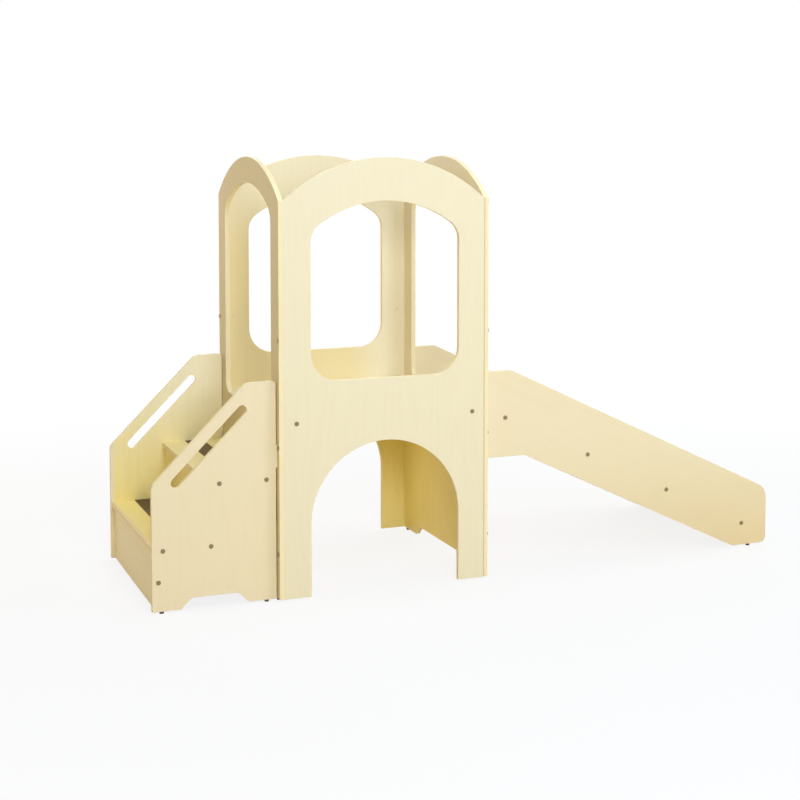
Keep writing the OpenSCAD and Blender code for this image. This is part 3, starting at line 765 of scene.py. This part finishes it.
def turned_piece(name, outline, steps):
    """A piece turned about the Z axis from an outline of radii and heights."""
    mesh = bmesh.new()
    rings = []
    for radius, height in outline:
        angles = [math.tau * step / steps for step in range(steps)] if radius else [0.0]
        spots = [(radius * math.cos(turn), radius * math.sin(turn), height) for turn in angles]
        rings.append([mesh.verts.new(spot) for spot in spots])
    for lower, upper in zip(rings, rings[1:]):
        for step in range(steps):
            after = (step + 1) % steps
            corners = [lower[step], lower[after], upper[after % len(upper)], upper[step % len(upper)]]
            mesh.faces.new(dict.fromkeys(corners))
    mesh.faces.new(reversed(rings[0]))
    for face in mesh.faces:
        face.smooth = True
    data = bpy.data.meshes.new(name)
    mesh.to_mesh(data)
    mesh.free()
    piece = bpy.data.objects.new(name, data)
    bpy.context.scene.collection.objects.link(piece)
    return piece


def finish_small(nodes, material, radius, steps=2):
    """Rounds the edges of these small parts and gives them this material."""
    for node in nodes:
        round_edges(NODES[node], radius, steps)
        wear_material(node, material)


# -------------------------------------------------------------------- studio

# Each lamp's name, the setting with its power, its place, its width and its colour
LAMPS = (
    ("Front lamp", "front", (-1.5, -6.3, 2.5), 1.8, (0.84, 0.9, 1.0)),
    ("Front right lamp", "front_right", (4.25, -4.25, 2.0), 3.0, (0.78, 0.88, 1.0)),
    ("Overhead lamp", "overhead", (0, 0, 4.5), 2.5, (1.0, 1.0, 1.0)),
    ("High front lamp", "front_top", (-1.0, -4.0, 4.5), 2.5, (0.74, 0.85, 1.0)),
    ("Back right lamp", "back_right", (4.25, 4.25, 2.0), 3.0, (0.86, 0.93, 1.0)),
    ("Back lamp", "back", (0, 6.0, 2.0), 3.0, (0.86, 0.93, 1.0)),
    ("Back left lamp", "back_left", (-4.25, 4.25, 2.0), 3.0, (1.0, 0.77, 0.38)),
    ("Left lamp", "left", (-6.0, 0, 2.0), 3.0, (1.0, 0.74, 0.32)),
)


def looked_at(tree):
    """1 where the camera, a reflection or glass looks straight at a surface, and 0 for other light."""
    path = place(tree, "ShaderNodeLightPath").outputs
    bent = sums(tree, "MAXIMUM", path["Is Glossy Ray"], path["Is Transmission Ray"])
    return sums(tree, "MAXIMUM", path["Is Camera Ray"], bent)


def mix_shaders(tree, factor, first, second):
    """The shader between first and second."""
    return place(tree, "ShaderNodeMixShader", {0: factor, 1: first, 2: second}).outputs[0]


# ---------------------------------------------------------------- operators


class SLIDE_OT_shared_finishes(bpy.types.Operator):
    """Builds the node groups that the materials share"""

    bl_idname = "slide.shared_finishes"
    bl_label = "Shared finishes"

    def execute(self, context):
        make_board_group()
        make_veneer_group()
        make_layer_group()
        make_wear_group()
        make_shade_zone_group()
        make_seam_group()
        make_plating_group()
        make_beech_group()
        return {"FINISHED"}


class SLIDE_OT_tower_panels(bpy.types.Operator):
    """Finishes the four arched panels of the tower"""

    bl_idname = "slide.tower_panels"
    bl_label = "Tower panels"

    def execute(self, context):
        # Painted warm shade under the platform on all four panels
        birch, zones = context.scene.slide_birch, (under_platform_shade(),)
        finish_boards(("tower_front",), UP, birch.pale, zones)
        # The back panel also takes painted shade in its inner corner beside the steps
        finish_boards(("tower_back",), UP, birch.pale, (*zones, back_corner_shade()))
        # Painted shade: the panel beside the steps is a tone darker all over
        finish_boards(("tower_stair_side",), UP, birch.golden_shade, zones)
        # Painted shadow line where this panel meets the front and back panels
        finish_boards(("tower_slide_side",), UP, birch.pale, zones, seam=birch.seam_strength)
        return {"FINISHED"}


class SLIDE_OT_platform(bpy.types.Operator):
    """Finishes the platform inside the tower"""

    bl_idname = "slide.platform"
    bl_label = "Platform"

    def execute(self, context):
        # Painted warm shade on the platform's underside
        finish_boards(("platform",), ALONG_X, context.scene.slide_birch.pale, (under_platform_shade(),))
        return {"FINISHED"}


class SLIDE_OT_stairs(bpy.types.Operator):
    """Finishes the sides, treads, risers and rail of the stairs"""

    bl_idname = "slide.stairs"
    bl_label = "Stairs"

    def execute(self, context):
        # Painted warm shade low between the sides of the steps
        birch, zones = context.scene.slide_birch, (between_step_sides_shade(),)
        finish_boards(("stair_side_front",), UP, birch.warm, zones)
        # Painted light: the far side of the steps and the lower riser take a paler tone
        finish_boards(("stair_side_back",), UP, birch.light, zones)
        finish_boards(("riser_lower",), ALONG_Y, birch.light, zones)
        across = ("tread_lower", "tread_upper", "riser_upper", "stair_rail")
        finish_boards(across, ALONG_Y, birch.warm, zones)
        return {"FINISHED"}


class SLIDE_OT_grip_strips(bpy.types.Operator):
    """Finishes the grip strips on the treads"""

    bl_idname = "slide.grip_strips"
    bl_label = "Grip strips"

    def execute(self, context):
        finish_small(("strip_lower", "strip_upper"), grit_strip(), 0.0003)
        return {"FINISHED"}


class SLIDE_OT_slide_run(bpy.types.Operator):
    """Finishes the sides, bed and rail of the slide"""

    bl_idname = "slide.slide_run"
    bl_label = "Slide"

    def execute(self, context):
        down = board_facing("slide_bed")[0].cross(ALONG_Y)
        birch = context.scene.slide_birch
        # The slide's sides take painted shade towards their foot
        finish_boards(("slide_side_front", "slide_side_back"), down, birch.warm, (slide_foot_shade(),))
        finish_boards(("slide_bed",), down, birch.warm, lacquer=birch.slide_lacquer)
        finish_boards(("slide_rail",), ALONG_Y, birch.warm)
        return {"FINISHED"}


class SLIDE_OT_cleats(bpy.types.Operator):
    """Finishes the cleats under the platform"""

    bl_idname = "slide.cleats"
    bl_label = "Cleats"

    def execute(self, context):
        cleats = ("cleat_stair_side", "cleat_slide_side")
        finish_small(cleats, beech("beech cleat", (900, 60, 900)), 0.0015, 3)
        return {"FINISHED"}


class SLIDE_OT_dowels(bpy.types.Operator):
    """Finishes the dowels in the joints"""

    bl_idname = "slide.dowels"
    bl_label = "Dowels"

    def execute(self, context):
        dowels = ("tower_dowels", "stair_dowels", "slide_dowels")
        finish_small(dowels, beech("beech dowel", (700, 700, 700)), 0.0006)
        return {"FINISHED"}


class SLIDE_OT_bolts(bpy.types.Operator):
    """Finishes the bolts and screws"""

    bl_idname = "slide.bolts"
    bl_label = "Bolts and screws"

    def execute(self, context):
        edge = context.scene.slide_hardware.steel_edge
        bolts = [node for node in NODES if node.endswith("_bolts")]
        finish_small(bolts, plated("plated bolt", 300.0), edge)
        finish_small(("cleat_screws",), plated("plated screw", 500.0), edge)
        return {"FINISHED"}


class SLIDE_OT_nuts(bpy.types.Operator):
    """Finishes the barrel nuts and link nuts"""

    bl_idname = "slide.nuts"
    bl_label = "Nuts"

    def execute(self, context):
        nuts = [node for node in NODES if node.endswith("_nuts")]
        finish_small(nuts, plated("plated nut", 400.0), context.scene.slide_hardware.steel_edge)
        return {"FINISHED"}


class SLIDE_OT_nut_caps(bpy.types.Operator):
    """Sets a domed cap over the open end of every barrel nut's bore inside the tower"""

    bl_idname = "slide.nut_caps"
    bl_label = "Nut caps"

    def execute(self, context):
        hardware = context.scene.slide_hardware
        material = moulded_cap()
        for number, (low, high) in enumerate(solid_boxes("tower_nuts"), 1):
            middle = (low + high) / 2
            inward = -math.copysign(1, middle.y)
            face = node_box("tower_front")[1].y if inward > 0 else node_box("tower_back")[0].y
            cap = turned_piece("nut_cap_%02d" % number, hardware.cap_profile(), 40)
            seat = Matrix.Translation((middle.x, face, middle.z))
            cap.data.transform(seat @ Matrix.Rotation(-inward * math.pi / 2, 4, "X"))
            cap.data.materials.append(material)
            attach(cap, "root")
        return {"FINISHED"}


class SLIDE_OT_glides(bpy.types.Operator):
    """Finishes the glides under the panels"""

    bl_idname = "slide.glides"
    bl_label = "Glides"

    def execute(self, context):
        glides = ("tower_glides", "stair_glides", "slide_glides")
        finish_small(glides, moulded_glide(), 0.0006)
        return {"FINISHED"}


class SLIDE_OT_studio(bpy.types.Operator):
    """Sets up the floor, the lamps and the camera"""

    bl_idname = "slide.studio"
    bl_label = "Studio"

    def execute(self, context):
        studio = context.scene.slide_studio
        low, high = CAD_BOX
        self.lay_floor(studio, low.z)
        for name, setting, spot, width, hue in LAMPS:
            self.hang_lamp(name, spot, (low + high) / 2, width, getattr(studio, setting), hue)
        self.light_room(studio)
        self.stand_camera(context.scene, studio)
        context.scene.view_settings.view_transform = "Standard"
        return {"FINISHED"}

    def lay_floor(self, studio, level):
        """A wide pale floor that fades into the white room away from the slide."""
        mesh = bpy.data.meshes.new("studio floor")
        shape = bmesh.new()
        bmesh.ops.create_grid(shape, x_segments=8, y_segments=8, size=40)
        bmesh.ops.translate(shape, verts=shape.verts, vec=(0, 0, level))
        shape.to_mesh(mesh)
        shape.free()
        floor = bpy.data.objects.new("studio_floor", mesh)
        bpy.context.scene.collection.objects.link(floor)
        material, tree, shader = new_material("studio paper")
        set_finish(shader, Base_Color=studio.floor, Roughness=0.9, Specular_IOR_Level=0.1)
        away = turns(tree, "LENGTH", object_place(tree))
        near = sums(tree, "MULTIPLY", ease(tree, away, 1.6, 4.0, 1.0, 0.0), studio.shade)
        paper = place(tree, "ShaderNodeEmission", {"Color": WHITE, "Strength": 1.0}).outputs[0]
        bounce = place(tree, "ShaderNodeBsdfDiffuse", {"Color": studio.bounce}).outputs[0]
        shown = mix_shaders(tree, near, paper, shader.outputs[0])
        both = mix_shaders(tree, looked_at(tree), bounce, shown)
        out = next(n for n in tree.nodes if n.type == "OUTPUT_MATERIAL")
        tree.links.new(both, out.inputs["Surface"])
        mesh.materials.append(material)

    def hang_lamp(self, name, spot, target, width, power, hue):
        """A square soft lamp at spot that faces target and that the camera doesn't see."""
        data = bpy.data.lights.new(name, "AREA")
        data.size = width
        data.energy = power
        data.color = hue
        lamp = bpy.data.objects.new(name, data)
        lamp.visible_camera = False
        lamp.location = spot
        lamp.rotation_mode = "QUATERNION"
        lamp.rotation_quaternion = (target - Vector(spot)).to_track_quat("-Z", "Y")
        bpy.context.scene.collection.objects.link(lamp)

    def light_room(self, studio):
        """Even white light from all round, and plain white behind everything."""
        world = bpy.data.worlds.new("studio room")
        world.use_nodes = True
        tree = world.node_tree
        tree.nodes.clear()
        soft = place(tree, "ShaderNodeBackground", {"Strength": studio.sky, "Color": WHITE}).outputs[0]
        white = place(tree, "ShaderNodeBackground", {"Strength": 1.0, "Color": WHITE}).outputs[0]
        both = mix_shaders(tree, looked_at(tree), soft, white)
        place(tree, "ShaderNodeOutputWorld", {"Surface": both})
        bpy.context.scene.world = world

    def stand_camera(self, scene, studio):
        """The camera, turned and dipped, with its upright shift."""
        data = bpy.data.cameras.new("Camera")
        data.lens = studio.lens
        data.shift_y = studio.rise
        data.clip_end = 200
        camera = bpy.data.objects.new("Camera", data)
        camera.location = studio.camera_place
        camera.rotation_euler = Euler((math.pi / 2 - studio.camera_dip, 0, -studio.camera_turn))
        scene.collection.objects.link(camera)
        scene.camera = camera


class SLIDE_PT_finishes(bpy.types.Panel):
    """Lists the settings and steps of the slide's finishes"""

    bl_idname = "SLIDE_PT_finishes"
    bl_label = "Toddler slide"
    bl_space_type = "VIEW_3D"
    bl_region_type = "UI"
    bl_category = "Toddler slide"

    def draw(self, context):
        layout = self.layout
        layout.use_property_split = True
        for title, group in (
            ("Birch plywood", context.scene.slide_birch),
            ("Hardware", context.scene.slide_hardware),
            ("Studio", context.scene.slide_studio),
        ):
            box = layout.box()
            box.label(text=title)
            for name in group.__annotations__:
                box.prop(group, name)
        for step in STEPS:
            layout.operator(step.bl_idname)


SETTINGS = {
    "slide_birch": BirchSettings,
    "slide_hardware": HardwareSettings,
    "slide_studio": StudioSettings,
}
STEPS = (
    SLIDE_OT_shared_finishes,
    SLIDE_OT_tower_panels,
    SLIDE_OT_platform,
    SLIDE_OT_stairs,
    SLIDE_OT_grip_strips,
    SLIDE_OT_slide_run,
    SLIDE_OT_cleats,
    SLIDE_OT_dowels,
    SLIDE_OT_bolts,
    SLIDE_OT_nuts,
    SLIDE_OT_nut_caps,
    SLIDE_OT_glides,
    SLIDE_OT_studio,
)


def register():
    for kind in (*SETTINGS.values(), *STEPS, SLIDE_PT_finishes):
        bpy.utils.register_class(kind)
    for name, kind in SETTINGS.items():
        setattr(bpy.types.Scene, name, bpy.props.PointerProperty(type=kind))


def unregister():
    for name in SETTINGS:
        delattr(bpy.types.Scene, name)
    for kind in (SLIDE_PT_finishes, *reversed(STEPS), *SETTINGS.values()):
        bpy.utils.unregister_class(kind)


def main():
    register()
    bpy.ops.slide.shared_finishes()
    bpy.ops.slide.tower_panels()
    bpy.ops.slide.platform()
    bpy.ops.slide.stairs()
    bpy.ops.slide.grip_strips()
    bpy.ops.slide.slide_run()
    bpy.ops.slide.cleats()
    bpy.ops.slide.dowels()
    bpy.ops.slide.bolts()
    bpy.ops.slide.nuts()
    bpy.ops.slide.nut_caps()
    bpy.ops.slide.glides()
    bpy.ops.slide.studio()


if __name__ == "__main__":
    main()
